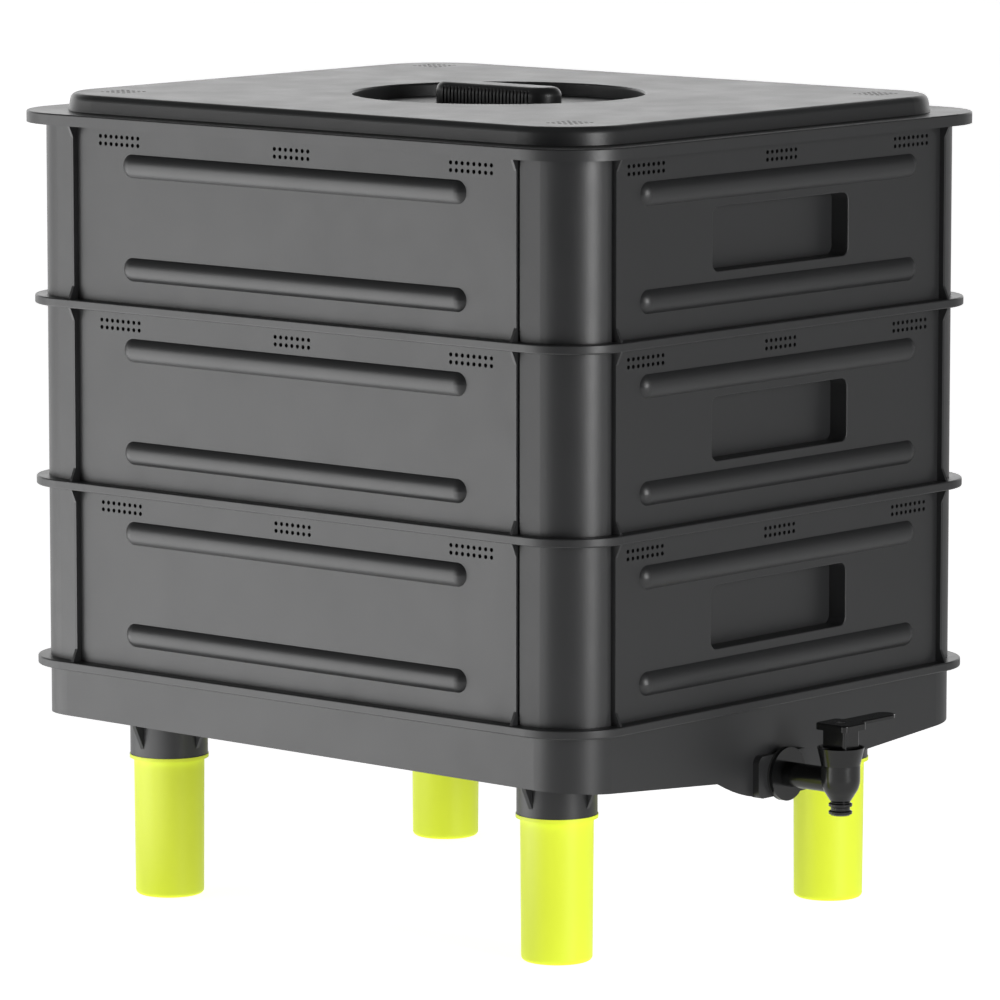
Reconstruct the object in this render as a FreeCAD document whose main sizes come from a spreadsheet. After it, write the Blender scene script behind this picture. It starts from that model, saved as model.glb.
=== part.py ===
import FreeCAD, Part
import math
import os

import Sketcher

# A garden wormery: a collecting base on four push-in legs, three stacking trays and a lid,
# with a drain tap at the front. Millimetres, +Z up, feet on z = 0, the tap faces -Y.

DRIVING_DIMENSIONS = {
    # Footprint of the box between its plane side panels, and the common moulding sizes
    "body_width": 418.8,
    "body_length": 493.8,
    "corner_radius": 36.0,
    "wall": 2.5,
    "rim_z": 168.0,
    "tray_pitch": 125.0,
    "flange_overhang": 9.0,
    "flange_thickness": 6.0,
    "flange_round": 1.0,
    # Tray floor, with the skirt that nests in the piece below
    "floor_thickness": 2.5,
    "nest_depth": 15.0,
    "nest_clearance": 1.0,
    "floor_hole_diameter": 7.0,
    "floor_hole_pitch": 28.0,
    "floor_hole_margin": 35.0,
    # Corner columns and the thin gusset fins beside them
    "column_proud": 0.3,
    "column_gap": 1.6,
    "column_tilt": 8.0,
    "fin_thickness": 2.0,
    "side_fin_setback": 48.6,
    "front_fin_setback": 36.1,
    "fin_depth": 3.7,
    "gusset_depth": 7.8,
    "gusset_height": 8.8,
    # Rounded rubbing bars across each panel
    "bar_height": 16.0,
    "bar_depth": 4.2,
    "bar_drop": 31.9,
    "bar_spacing": 70.0,
    "side_bar_setback": 93.3,
    "front_bar_setback": 63.4,
    # Vent holes under each tray rim
    "vent_diameter": 2.8,
    "vent_pitch": 5.0,
    "vent_drop": 12.9,
    "side_vent_setback": 89.4,
    "front_vent_setback": 69.4,
    # Handle pockets in the front and back panels
    "pocket_width": 143.0,
    "pocket_height": 42.3,
    "pocket_drop": 66.35,
    "pocket_depth": 14.0,
    "pocket_radius": 5.5,
    "pocket_mouth_round": 0.8,
    # Lid
    "lid_gap": 1.8,
    "brim_wall": 3.0,
    "brim_web": 1.2,
    "brim_drop": 6.6,
    "brim_round": 1.0,
    "plateau_setback": 6.4,
    "plateau_height": 11.8,
    "plateau_draft": 10.0,
    "plateau_corner_radius": 50.0,
    "plateau_round": 5.0,
    "dish_radius": 100.0,
    "dish_depth": 8.7,
    "dish_round": 1.5,
    "lid_vent_side_setback": 48.4,
    "lid_vent_front_setback": 46.9,
    # Ribbed grip bar standing in the dish, and its two screws
    "grip_length": 104.0,
    "grip_width": 28.0,
    "grip_height": 14.7,
    "grip_round": 6.0,
    "rib_pitch": 3.15,
    "groove_width": 1.3,
    "groove_depth": 1.3,
    "grip_screw_spacing": 60.0,
    "grip_screw_diameter": 3.8,
    "grip_screw_head_diameter": 8.0,
    "grip_screw_head_height": 2.2,
    "grip_screw_length": 12.0,
    # Sloped floor of the base, its drain bulge and its leg collars
    "base_wall_height": 42.1,
    "keel_drop": 16.3,
    "front_fall": 3.0,
    "bulge_half_width": 72.0,
    "bulge_half_height": 25.9,
    "bulge_end_radius": 9.0,
    "bulge_rise": 10.3,
    "bulge_skin": 2.0,
    "tap_pad_half_width": 27.0,
    "tap_pad_half_height": 14.2,
    "tap_pad_radius": 5.0,
    "tap_pad_proud": 5.0,
    "well_length": 70.0,
    "well_end_half_width": 30.0,
    "well_end_half_height": 9.0,
    "well_end_radius": 5.0,
    "well_end_rise": 7.0,
    "collar_diameter": 53.7,
    "collar_web_reach": 11.7,
    "collar_web_height": 26.8,
    "collar_web_thickness": 3.0,
    "leg_side_setback": 64.55,
    "leg_front_setback": 70.8,
    # Legs
    "leg_length": 98.3,
    "leg_lip_diameter": 54.7,
    "leg_lip_thickness": 2.5,
    "leg_top_diameter": 48.8,
    "leg_foot_diameter": 47.4,
    "leg_foot_round": 3.0,
    "leg_wall": 2.5,
    "spigot_diameter": 48.0,
    "spigot_length": 19.5,
    "socket_depth": 20.0,
    "running_clearance": 0.05,
    # Tap: inlet through the bulge along Y, plug and lever on a vertical axis
    "tap_z": 114.0,
    "tap_reach": 52.7,
    "thread_diameter": 16.66,
    "thread_tail": 11.0,
    "inlet_bore_diameter": 12.0,
    "tap_flange_diameter": 36.0,
    "tap_flange_thickness": 2.5,
    "washer_thickness": 1.6,
    "inner_washer_diameter": 22.0,
    "nut_across_flats": 20.0,
    "nut_thickness": 6.0,
    "chamber_diameter": 26.0,
    "chamber_shoulder_drop": 3.2,
    "chamber_foot_drop": 13.6,
    "chamber_round": 16.0,
    "neck_diameter": 21.0,
    "neck_height": 17.0,
    "plug_diameter": 13.9,
    "plug_foot": 10.4,
    "plug_port_diameter": 9.0,
    "plug_collar_diameter": 18.4,
    "plug_collar_thickness": 3.9,
    "plug_stem_diameter": 15.7,
    "plug_stem_top": 22.9,
    "seal_section": 1.3,
    "seal_spacing": 16.5,
    "seal_rise": 8.4,
    "nozzle_diameter": 15.7,
    "nozzle_root_diameter": 12.8,
    "nozzle_length": 8.8,
    "nozzle_first_ridge": 1.9,
    "nozzle_ridge_pitch": 5.1,
    "nozzle_ridge_height": 1.6,
    "nozzle_ridge_ramp": 0.8,
    "outlet_bore_diameter": 10.0,
    "bonnet_foot": 11.2,
    "bonnet_top": 23.2,
    "bonnet_foot_diameter": 26.0,
    "bonnet_top_diameter": 31.6,
    "bonnet_ledge": 2.5,
    "bonnet_lip": 1.2,
    "spigot_square": 8.0,
    "spigot_height": 9.1,
    "lever_block_length": 19.6,
    "lever_block_width": 16.0,
    "lever_block_height": 12.3,
    "lever_block_round": 2.0,
    "lever_plate_thickness": 4.5,
    "lever_hub_length": 26.8,
    "lever_hub_width": 24.0,
    "lever_hub_round": 4.0,
    "lever_reach": 53.5,
    "lever_arm_width": 15.0,
    "lever_arm_thickness": 2.6,
    "lever_round": 1.0,
    "lever_screw_diameter": 2.9,
    "lever_screw_length": 14.0,
    "lever_screw_head_diameter": 6.4,
    "lever_screw_head_height": 1.8,
    "lever_screw_slack": 0.2,
}

VENT_ROWS = 2
OUTER_VENT_COLUMNS = 8
MIDDLE_VENT_COLUMNS = 7
LID_VENT_COUNT = 5
NOZZLE_RIDGES = 2
VALLEY_MARGIN = 1.2
TRAY_NAMES = ("tray_bottom", "tray_middle", "tray_top")
LEG_NAMES = {
    "leg_front_left": (-1, -1),
    "leg_front_right": (1, -1),
    "leg_back_left": (-1, 1),
    "leg_back_right": (1, 1),
}

doc = FreeCAD.newDocument("Wormery")
sheet = doc.addObject("Spreadsheet::Sheet", "dims")
for row, (alias, size) in enumerate(DRIVING_DIMENSIONS.items(), start=1):
    sheet.set("A%d" % row, alias)
    sheet.set("B%d" % row, str(size))
    sheet.setAlias("B%d" % row, alias)
doc.recompute()

# Sizes that several pieces share, as expressions on the sheet
HALF_WIDTH = "(dims.body_width / 2)"
HALF_LENGTH = "(dims.body_length / 2)"
INNER_HALF_WIDTH = "(dims.body_width / 2 - dims.wall)"
INNER_HALF_LENGTH = "(dims.body_length / 2 - dims.wall)"
INNER_RADIUS = "(dims.corner_radius - dims.wall)"
FLANGE_HALF_WIDTH = "(dims.body_width / 2 + dims.flange_overhang)"
FLANGE_HALF_LENGTH = "(dims.body_length / 2 + dims.flange_overhang)"
FLANGE_RADIUS = "(dims.corner_radius + dims.flange_overhang)"
LEG_X = "(dims.body_width / 2 - dims.leg_side_setback)"
LEG_Y = "(dims.body_length / 2 - dims.leg_front_setback)"
LID_SEAT_Z = "(dims.rim_z + %d * dims.tray_pitch)" % len(TRAY_NAMES)
LID_REACH = "(dims.flange_overhang + dims.lid_gap + dims.brim_wall)"
BULGE_Z = "(dims.tap_z + dims.bulge_rise)"
SEAL_PLACES = (("UpperSeal", "dims.seal_rise"), ("LowerSeal", "(dims.seal_rise - dims.seal_spacing)"))

SCREW_SEAT_Z = "(dims.plug_stem_top + dims.running_clearance + dims.lever_block_height" \
               " + dims.lever_plate_thickness - dims.lever_screw_head_height - dims.lever_screw_slack)"
SCREW_TIP_Z = "(%s - dims.lever_screw_length)" % SCREW_SEAT_Z

# The origin is under the middle of the whole object, tap included, so the box stands behind it
BOX_Y = "((dims.tap_reach + dims.bonnet_top_diameter / 2 - %s) / 2)" % LID_REACH
TAP_AXIS_Y = "(-dims.body_length / 2 - dims.tap_reach)"

pieces = []


# Helpers for bodies, sketches and features
def new_body(label, x="0", y="0", z="0"):
    body = doc.addObject("PartDesign::Body", label)
    body.Label = label
    for axis, place in (("x", x), ("y", "%s + %s" % (BOX_Y, y)), ("z", z)):
        body.setExpression("Placement.Base." + axis, place)
    pieces.append(body)
    return body


def origin_feature(body, role):
    for feature in body.Origin.OriginFeatures:
        if feature.Role == role:
            return feature
    raise RuntimeError("no origin feature " + role)


def attach(feature, body, role, x="0", y="0", z="0"):
    feature.AttachmentSupport = [(origin_feature(body, role), "")]
    feature.MapMode = "FlatFace"
    for axis, place in (("x", x), ("y", y), ("z", z)):
        if place != "0":
            feature.setExpression("AttachmentOffset.Base." + axis, place)


def new_sketch(body, name, role, offset="0"):
    sketch = body.newObject("Sketcher::SketchObject", name)
    attach(sketch, body, role, z=offset)
    return sketch


def size_of(expression):
    result = sheet.evalExpression(str(expression))
    return float(getattr(result, "Value", result))


def bind(sketch, constraint, expression):
    index = sketch.addConstraint(constraint)
    sketch.setExpression("Constraints[%d]" % index, str(expression))


def place_point(sketch, geometry, point, x, y):
    for kind, place in (("DistanceX", x), ("DistanceY", y)):
        size = size_of(place)
        if abs(size) < 1e-9 and "dims" not in str(place):
            sketch.addConstraint(Sketcher.Constraint(
                "PointOnObject", geometry, point, -2 if kind == "DistanceX" else -1))
        elif size < 0:
            bind(sketch, Sketcher.Constraint(kind, geometry, point, -1, 1, -size), "-(%s)" % place)
        else:
            bind(sketch, Sketcher.Constraint(kind, -1, 1, geometry, point, size), place)


def polygon(sketch, corners):
    """Closed outline through corners given as pairs of expressions."""
    spots = [FreeCAD.Vector(size_of(x), size_of(y), 0) for x, y in corners]
    count = len(spots)
    lines = [sketch.addGeometry(Part.LineSegment(spots[i], spots[(i + 1) % count]), False)
             for i in range(count)]
    for i in range(count):
        sketch.addConstraint(Sketcher.Constraint("Coincident", lines[i], 2, lines[(i + 1) % count], 1))
    for line, (x, y) in zip(lines, corners):
        place_point(sketch, line, 1, x, y)
    return lines


def circle(sketch, radius, x="0", y="0"):
    centre = FreeCAD.Vector(size_of(x), size_of(y), 0)
    shape = Part.Circle(centre, FreeCAD.Vector(0, 0, 1), size_of(radius))
    index = sketch.addGeometry(shape, False)
    bind(sketch, Sketcher.Constraint("Radius", index, size_of(radius)), radius)
    place_point(sketch, index, 3, x, y)
    return index


def rounded_rectangle(sketch, half_x, half_y, radius, middle_y="0"):
    """Rectangle about x = 0 with four equal corner arcs."""
    reach_x = size_of(half_x)
    reach_y = size_of(half_y)
    corner = size_of(radius)
    mid = size_of(middle_y)
    in_x = reach_x - corner
    in_y = reach_y - corner

    def line(x1, y1, x2, y2):
        start = FreeCAD.Vector(x1, mid + y1, 0)
        end = FreeCAD.Vector(x2, mid + y2, 0)
        return sketch.addGeometry(Part.LineSegment(start, end), False)

    def arc(x, y, start_angle):
        centre = FreeCAD.Vector(x, mid + y, 0)
        full = Part.Circle(centre, FreeCAD.Vector(0, 0, 1), corner)
        start = math.radians(start_angle)
        return sketch.addGeometry(Part.ArcOfCircle(full, start, start + math.pi / 2), False)

    bottom = line(-in_x, -reach_y, in_x, -reach_y)
    bottom_right = arc(in_x, -in_y, 270)
    right = line(reach_x, -in_y, reach_x, in_y)
    top_right = arc(in_x, in_y, 0)
    top = line(in_x, reach_y, -in_x, reach_y)
    top_left = arc(-in_x, in_y, 90)
    left = line(-reach_x, in_y, -reach_x, -in_y)
    bottom_left = arc(-in_x, -in_y, 180)
    loop = [bottom, bottom_right, right, top_right, top, top_left, left, bottom_left]
    for i, edge in enumerate(loop):
        sketch.addConstraint(Sketcher.Constraint("Tangent", edge, 2, loop[(i + 1) % len(loop)], 1))
    for edge in (bottom, top):
        sketch.addConstraint(Sketcher.Constraint("Horizontal", edge))
    for edge in (left, right):
        sketch.addConstraint(Sketcher.Constraint("Vertical", edge))
    for edge in (top_right, top_left, bottom_left):
        sketch.addConstraint(Sketcher.Constraint("Equal", bottom_right, edge))
    bind(sketch, Sketcher.Constraint("Radius", bottom_right, corner), radius)
    place_point(sketch, bottom_left, 3, "-(%s - %s)" % (half_x, radius),
                "%s - (%s - %s)" % (middle_y, half_y, radius))
    place_point(sketch, top_right, 3, "%s - %s" % (half_x, radius),
                "%s + (%s - %s)" % (middle_y, half_y, radius))


def pad(body, name, sketch, length, reverse=False, centred=False, taper="0"):
    feature = body.newObject("PartDesign::Pad", name)
    feature.Profile = sketch
    feature.setExpression("Length", length)
    feature.Reversed = reverse
    feature.Midplane = centred
    if taper != "0":
        feature.setExpression("TaperAngle", taper)
    return settle(body, feature)


def pocket(body, name, sketch, length, reverse=False):
    before = body.Shape.Volume
    feature = body.newObject("PartDesign::Pocket", name)
    feature.Profile = sketch
    feature.setExpression("Length", length)
    feature.Reversed = reverse
    settle(body, feature)
    if body.Shape.Volume >= before - 1e-6:
        raise RuntimeError("%s cut nothing from %s" % (name, body.Label))
    return feature


def pocket_through(body, name, sketch):
    feature = body.newObject("PartDesign::Pocket", name)
    feature.Profile = sketch
    feature.Type = "ThroughAll"
    feature.Midplane = True
    return settle(body, feature)


def revolve(body, name, sketch, axis="V_Axis"):
    feature = body.newObject("PartDesign::Revolution", name)
    feature.Profile = sketch
    feature.ReferenceAxis = (sketch, [axis])
    feature.Angle = 360
    return settle(body, feature)


def cylinder(body, name, role, radius, height, x="0", y="0", z="0", cut=False):
    kind = "PartDesign::SubtractiveCylinder" if cut else "PartDesign::AdditiveCylinder"
    feature = body.newObject(kind, name)
    attach(feature, body, role, x, y, z)
    feature.setExpression("Radius", radius)
    feature.setExpression("Height", height)
    return settle(body, feature)


def oval(sketch, half_x, half_y, end_radius, middle_y):
    """Oval of four arcs: two of end_radius at the sides and two flatter ones above and below."""
    run = "(%s - %s)" % (half_x, end_radius)
    flat_radius = "((%s * %s + %s * %s - %s * %s) / (2 * (%s - %s)))" % (
        run, run, half_y, half_y, end_radius, end_radius, half_y, end_radius)
    drop = "(%s - %s)" % (flat_radius, half_y)
    share = "(%s / (%s - %s))" % (end_radius, flat_radius, end_radius)
    joint_x = "(%s * (1 + %s))" % (run, share)
    joint_y = "(%s * %s)" % (drop, share)
    mid = size_of(middle_y)
    angle = math.atan2(size_of(joint_y), size_of(joint_x) - size_of(run))

    def arc(x, y, radius, start, end):
        full = Part.Circle(FreeCAD.Vector(x, mid + y, 0), FreeCAD.Vector(0, 0, 1), radius)
        return sketch.addGeometry(Part.ArcOfCircle(full, start, end), False)

    end = size_of(end_radius)
    flat = size_of(flat_radius)
    right = arc(size_of(run), 0, end, -angle, angle)
    top = arc(0, -size_of(drop), flat, angle, math.pi - angle)
    left = arc(-size_of(run), 0, end, math.pi - angle, math.pi + angle)
    bottom = arc(0, size_of(drop), flat, math.pi + angle, 2 * math.pi - angle)
    loop = [right, top, left, bottom]
    for i, edge in enumerate(loop):
        sketch.addConstraint(Sketcher.Constraint("Coincident", edge, 2, loop[(i + 1) % 4], 1))
    place_point(sketch, right, 1, joint_x, "%s - %s" % (middle_y, joint_y))
    place_point(sketch, top, 1, joint_x, "%s + %s" % (middle_y, joint_y))
    place_point(sketch, left, 1, "-%s" % joint_x, "%s + %s" % (middle_y, joint_y))
    place_point(sketch, bottom, 1, "-%s" % joint_x, "%s - %s" % (middle_y, joint_y))
    bind(sketch, Sketcher.Constraint("DistanceX", -1, 1, right, 3, size_of(run)), run)
    bind(sketch, Sketcher.Constraint("DistanceX", left, 3, -1, 1, size_of(run)), run)
    for edge, place in ((top, "%s - %s" % (middle_y, drop)), (bottom, "%s + %s" % (middle_y, drop))):
        size = size_of(place)
        if size < 0:
            bind(sketch, Sketcher.Constraint("DistanceY", edge, 3, -1, 1, -size), "-(%s)" % place)
        else:
            bind(sketch, Sketcher.Constraint("DistanceY", -1, 1, edge, 3, size), place)


def ruled_loft(body, name, first, *others):
    feature = body.newObject("PartDesign::AdditiveLoft", name)
    feature.Profile = first
    feature.Sections = list(others)
    feature.Ruled = True
    return settle(body, feature)


def settle(body, feature):
    body.Tip = feature
    doc.recompute()
    if "Invalid" in feature.State or "Error" in feature.State or feature.Shape.isNull():
        raise RuntimeError("%s failed in %s" % (feature.Name, body.Label))
    return feature


def round_edges(body, name, chosen, radius):
    """Fillet the edges of the tip for which chosen(edge) holds."""
    base = body.Tip
    names = ["Edge%d" % (i + 1) for i, edge in enumerate(base.Shape.Edges) if chosen(edge)]
    if not names:
        raise RuntimeError("no edges for %s in %s" % (name, body.Label))
    feature = body.newObject("PartDesign::Fillet", name)
    feature.Base = (base, names)
    feature.setExpression("Radius", radius)
    return settle(body, feature)


def repeat(body, name, original, moves):
    """Pattern of a feature: moves are ("X_Axis", length, count) or ("YZ_Plane",) mirrors."""
    steps = []
    grid = body.newObject("PartDesign::MultiTransform", name)
    grid.Originals = [original]
    for i, move in enumerate(moves):
        if len(move) == 1:
            step = body.newObject("PartDesign::Mirrored", "%s_mirror%d" % (name, i))
            step.MirrorPlane = (origin_feature(body, move[0]), [""])
        else:
            step = body.newObject("PartDesign::LinearPattern", "%s_row%d" % (name, i))
            step.Direction = (origin_feature(body, move[0]), [""])
            step.setExpression("Length", move[1])
            step.setExpression("Occurrences", str(move[2]))
        steps.append(step)
    grid.Transformations = steps
    return settle(body, grid)


def same(a, b, slack=0.01):
    return abs(a - b) < slack


def flat_at(edge, z):
    return all(same(vertex.Z, z) for vertex in edge.Vertexes)


# Flange round the rim of the base and of each tray
def add_flange(body, top):
    sketch = new_sketch(body, "FlangeOutline", "XY_Plane", "%s - dims.flange_thickness" % top)
    rounded_rectangle(sketch, FLANGE_HALF_WIDTH, FLANGE_HALF_LENGTH, FLANGE_RADIUS)
    pad(body, "Flange", sketch, "dims.flange_thickness")
    top_z = size_of(top)
    levels = (top_z, top_z - size_of("dims.flange_thickness"))
    half_x = size_of(FLANGE_HALF_WIDTH)
    half_y = size_of(FLANGE_HALF_LENGTH)

    def on_flange(edge):
        box = edge.BoundBox
        far = max(abs(box.XMin), abs(box.XMax)) > half_x - 1 or max(abs(box.YMin), abs(box.YMax)) > half_y - 1
        return far and any(flat_at(edge, z) for z in levels)

    round_edges(body, "FlangeRound", on_flange, "dims.flange_round")


# Corner column: the corner arc with a plane on each side, tilted away from the panels
def add_corner_columns(body, height):
    tilt = "dims.column_tilt"
    arc_radius = "(dims.corner_radius + dims.column_proud)"
    centre_x = "(dims.body_width / 2 - dims.corner_radius)"
    centre_y = "(dims.body_length / 2 - dims.corner_radius)"
    beside_fin = "dims.fin_thickness / 2 + dims.column_gap"
    side_end_y = "(dims.body_length / 2 - dims.side_fin_setback + %s)" % beside_fin
    front_end_x = "(dims.body_width / 2 - dims.front_fin_setback + %s)" % beside_fin
    side_touch_x = "(%s + %s * cos(%s * 1deg))" % (centre_x, arc_radius, tilt)
    side_touch_y = "(%s + %s * sin(%s * 1deg))" % (centre_y, arc_radius, tilt)
    front_touch_x = "(%s + %s * sin(%s * 1deg))" % (centre_x, arc_radius, tilt)
    front_touch_y = "(%s + %s * cos(%s * 1deg))" % (centre_y, arc_radius, tilt)
    side_proud_x = "(%s + (%s - %s) * tan(%s * 1deg))" % (side_touch_x, side_touch_y, side_end_y, tilt)
    front_proud_y = "(%s + (%s - %s) * tan(%s * 1deg))" % (front_touch_y, front_touch_x, front_end_x, tilt)
    sketch = new_sketch(body, "ColumnOutline", "XY_Plane")
    corners = [
        (INNER_HALF_WIDTH, side_end_y),
        (side_proud_x, side_end_y),
        (side_touch_x, side_touch_y),
        (front_touch_x, front_touch_y),
        (front_end_x, front_proud_y),
        (front_end_x, INNER_HALF_LENGTH),
    ]
    spots = [FreeCAD.Vector(size_of(x), size_of(y), 0) for x, y in corners]
    edges = []
    for i in (0, 1, 3, 4, 5):
        segment = Part.LineSegment(spots[i], spots[(i + 1) % len(spots)])
        edges.append(sketch.addGeometry(segment, False))
    middle = FreeCAD.Vector(size_of(centre_x), size_of(centre_y), 0)
    full = Part.Circle(middle, FreeCAD.Vector(0, 0, 1), size_of(arc_radius))
    start = math.radians(size_of(tilt))
    arc = sketch.addGeometry(Part.ArcOfCircle(full, start, math.pi / 2 - start), False)
    foot, side, front, head, inside = edges
    for first, first_end, second, second_end in (
            (foot, 2, side, 1), (side, 2, arc, 1), (arc, 2, front, 1),
            (front, 2, head, 1), (head, 2, inside, 1), (inside, 2, foot, 1)):
        sketch.addConstraint(Sketcher.Constraint("Coincident", first, first_end, second, second_end))
    for edge, corner in ((foot, 0), (side, 1), (head, 4), (inside, 5)):
        place_point(sketch, edge, 1, *corners[corner])
    place_point(sketch, arc, 3, centre_x, centre_y)
    place_point(sketch, arc, 1, side_touch_x, side_touch_y)
    bind(sketch, Sketcher.Constraint("DistanceX", -1, 1, arc, 2, spots[3].x), front_touch_x)
    column = pad(body, "Column", sketch, height)
    repeat(body, "Columns", column, [("YZ_Plane",), ("XZ_Plane",)])


# Gusset fins: thin webs square to the panel, deeper where they meet the flanges
def add_fins(body, height):
    for name, role, reach, place in (
            ("SideFin", "XZ_Plane", HALF_WIDTH, "(dims.body_length / 2 - dims.side_fin_setback)"),
            ("FrontFin", "YZ_Plane", HALF_LENGTH, "(dims.body_width / 2 - dims.front_fin_setback)")):
        outer = "(%s + dims.gusset_depth)" % reach
        middle = "(%s + dims.fin_depth)" % reach
        inner = "(%s - dims.wall / 2)" % reach
        under_flange = "(%s - dims.flange_thickness)" % height
        in_flange = "(%s - dims.flange_thickness / 2)" % height
        sketch = new_sketch(body, name + "Outline", role, place)
        polygon(sketch, [
            (inner, "0"), (outer, "0"), (middle, "dims.gusset_height"),
            (middle, "%s - dims.gusset_height" % under_flange), (outer, under_flange),
            (outer, in_flange), (inner, in_flange)])
        fin = pad(body, name, sketch, "dims.fin_thickness", centred=True)
        repeat(body, name + "s", fin, [("YZ_Plane",), ("XZ_Plane",)])


# Half of a round-ended rod, drawn to one side of the sketch's vertical or horizontal axis
def half_rod(sketch, radius, straight, upright):
    size = size_of(radius)
    run = size_of(straight)

    def spot(along, across):
        return FreeCAD.Vector(across, along, 0) if upright else FreeCAD.Vector(along, across, 0)

    def quarter(along, start):
        full = Part.Circle(spot(along, 0), FreeCAD.Vector(0, 0, 1), size)
        return sketch.addGeometry(Part.ArcOfCircle(full, start, start + math.pi / 2), False)

    core = sketch.addGeometry(Part.LineSegment(spot(-run - size, 0), spot(run + size, 0)), False)
    outer = sketch.addGeometry(Part.LineSegment(spot(-run, size), spot(run, size)), False)
    far = quarter(run, 0)
    near = quarter(-run, -math.pi / 2 if upright else math.pi / 2)
    far_tip, far_side, near_tip, near_side = (2, 1, 1, 2) if upright else (1, 2, 2, 1)
    for first, first_end, second, second_end in (
            (core, 1, near, near_tip), (near, near_side, outer, 1),
            (outer, 2, far, far_side), (far, far_tip, core, 2)):
        sketch.addConstraint(Sketcher.Constraint("Coincident", first, first_end, second, second_end))
    axis = -2 if upright else -1
    for edge, point in ((core, 1), (core, 2), (far, 3), (near, 3)):
        sketch.addConstraint(Sketcher.Constraint("PointOnObject", edge, point, axis))
    sketch.addConstraint(Sketcher.Constraint("Equal", far, near))
    bind(sketch, Sketcher.Constraint("Radius", far, size), radius)
    along = "DistanceY" if upright else "DistanceX"
    for edge, point in ((far, 3), (outer, 2)):
        bind(sketch, Sketcher.Constraint(along, -1, 1, edge, point, run), straight)
    for edge, point in ((near, 3), (outer, 1)):
        bind(sketch, Sketcher.Constraint(along, edge, point, -1, 1, run), straight)


# Rubbing bars: round-ended rods sunk in the panel, so that a shallow round bar stands proud
def add_bars(body, lowest_z):
    radius = "((dims.bar_height * dims.bar_height / 4 + dims.bar_depth * dims.bar_depth)" \
             " / (2 * dims.bar_depth))"
    for name, reach, half_bar, mirror in (
            ("SideBar", HALF_WIDTH, "(dims.body_length / 2 - dims.side_bar_setback)", "YZ_Plane"),
            ("FrontBar", HALF_LENGTH, "(dims.body_width / 2 - dims.front_bar_setback)", "XZ_Plane")):
        sunk = "(%s + dims.bar_depth - %s)" % (reach, radius)
        upright = name == "SideBar"
        sketch = body.newObject("Sketcher::SketchObject", name + "Outline")
        attach(sketch, body, "XY_Plane", x=sunk if upright else "0",
               y="0" if upright else sunk, z=lowest_z)
        half_rod(sketch, radius, "(%s - dims.bar_height / 2)" % half_bar, upright)
        bar = revolve(body, name, sketch, "V_Axis" if upright else "H_Axis")
        repeat(body, name + "s", bar, [("Z_Axis", "dims.bar_spacing", 2), (mirror,)])


# Two rows of vent holes near the rim: two outer groups and a middle group on each face
def add_vents(body, rim):
    pitch = "dims.vent_pitch"
    for name, role, axis, mirror, setback in (
            ("SideVent", "YZ_Plane", "Y_Axis", "XZ_Plane",
             "(dims.body_length / 2 - dims.side_vent_setback)"),
            ("FrontVent", "XZ_Plane", "X_Axis", "YZ_Plane",
             "(dims.body_width / 2 - dims.front_vent_setback)")):
        for group, columns, centre in (
                ("Outer", OUTER_VENT_COLUMNS, setback), ("Middle", MIDDLE_VENT_COLUMNS, "0")):
            start = "%s - %s * %d / 2" % (centre, pitch, columns - 1)
            lowest = "%s - dims.vent_drop - %s * %d" % (rim, pitch, VENT_ROWS - 1)
            sketch = new_sketch(body, group + name + "Hole", role)
            circle(sketch, "dims.vent_diameter / 2", start, lowest)
            hole = pocket_through(body, group + name, sketch)
            moves = [(axis, "%s * %d" % (pitch, columns - 1), columns),
                     ("Z_Axis", "%s * %d" % (pitch, VENT_ROWS - 1), VENT_ROWS)]
            if group == "Outer":
                moves.append((mirror,))
            repeat(body, group + name + "s", hole, moves)


# Handle pocket in the front and back panels, with its own thin housing inside
def add_handle_pockets(body, rim):
    middle_z = "(%s - dims.pocket_drop)" % rim
    for name, mirror_side in (("Front", 1), ("Back", -1)):
        housing_depth = "(dims.pocket_depth + dims.wall)"
        inner_face = "%d * (%s - %s)" % (mirror_side, HALF_LENGTH, housing_depth)
        outline = new_sketch(body, name + "HousingOutline", "XZ_Plane", inner_face)
        rounded_rectangle(outline, "(dims.pocket_width / 2 + dims.wall)",
                          "(dims.pocket_height / 2 + dims.wall)",
                          "(dims.pocket_radius + dims.wall)", middle_z)
        pad(body, name + "Housing", outline, "%s - dims.wall / 2" % housing_depth,
            reverse=mirror_side < 0)
        mouth = new_sketch(body, name + "PocketOutline", "XZ_Plane",
                           "%d * %s" % (mirror_side, HALF_LENGTH))
        rounded_rectangle(mouth, "(dims.pocket_width / 2)", "(dims.pocket_height / 2)",
                          "dims.pocket_radius", middle_z)
        pocket(body, name + "Pocket", mouth, "dims.pocket_depth", reverse=mirror_side < 0)
    face = size_of(HALF_LENGTH)
    reach_x = size_of("dims.pocket_width / 2")
    low_z = size_of("%s - dims.pocket_height / 2" % middle_z)
    high_z = size_of("%s + dims.pocket_height / 2" % middle_z)

    def on_mouth(edge):
        box = edge.BoundBox
        inside_x = max(-box.XMin, box.XMax) < reach_x + 0.1
        inside_z = box.ZMin > low_z - 0.1 and box.ZMax < high_z + 0.1
        return same(abs(box.YMin), face) and same(abs(box.YMax), face) and inside_x and inside_z

    round_edges(body, "PocketMouthRound", on_mouth, "dims.pocket_mouth_round")


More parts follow.
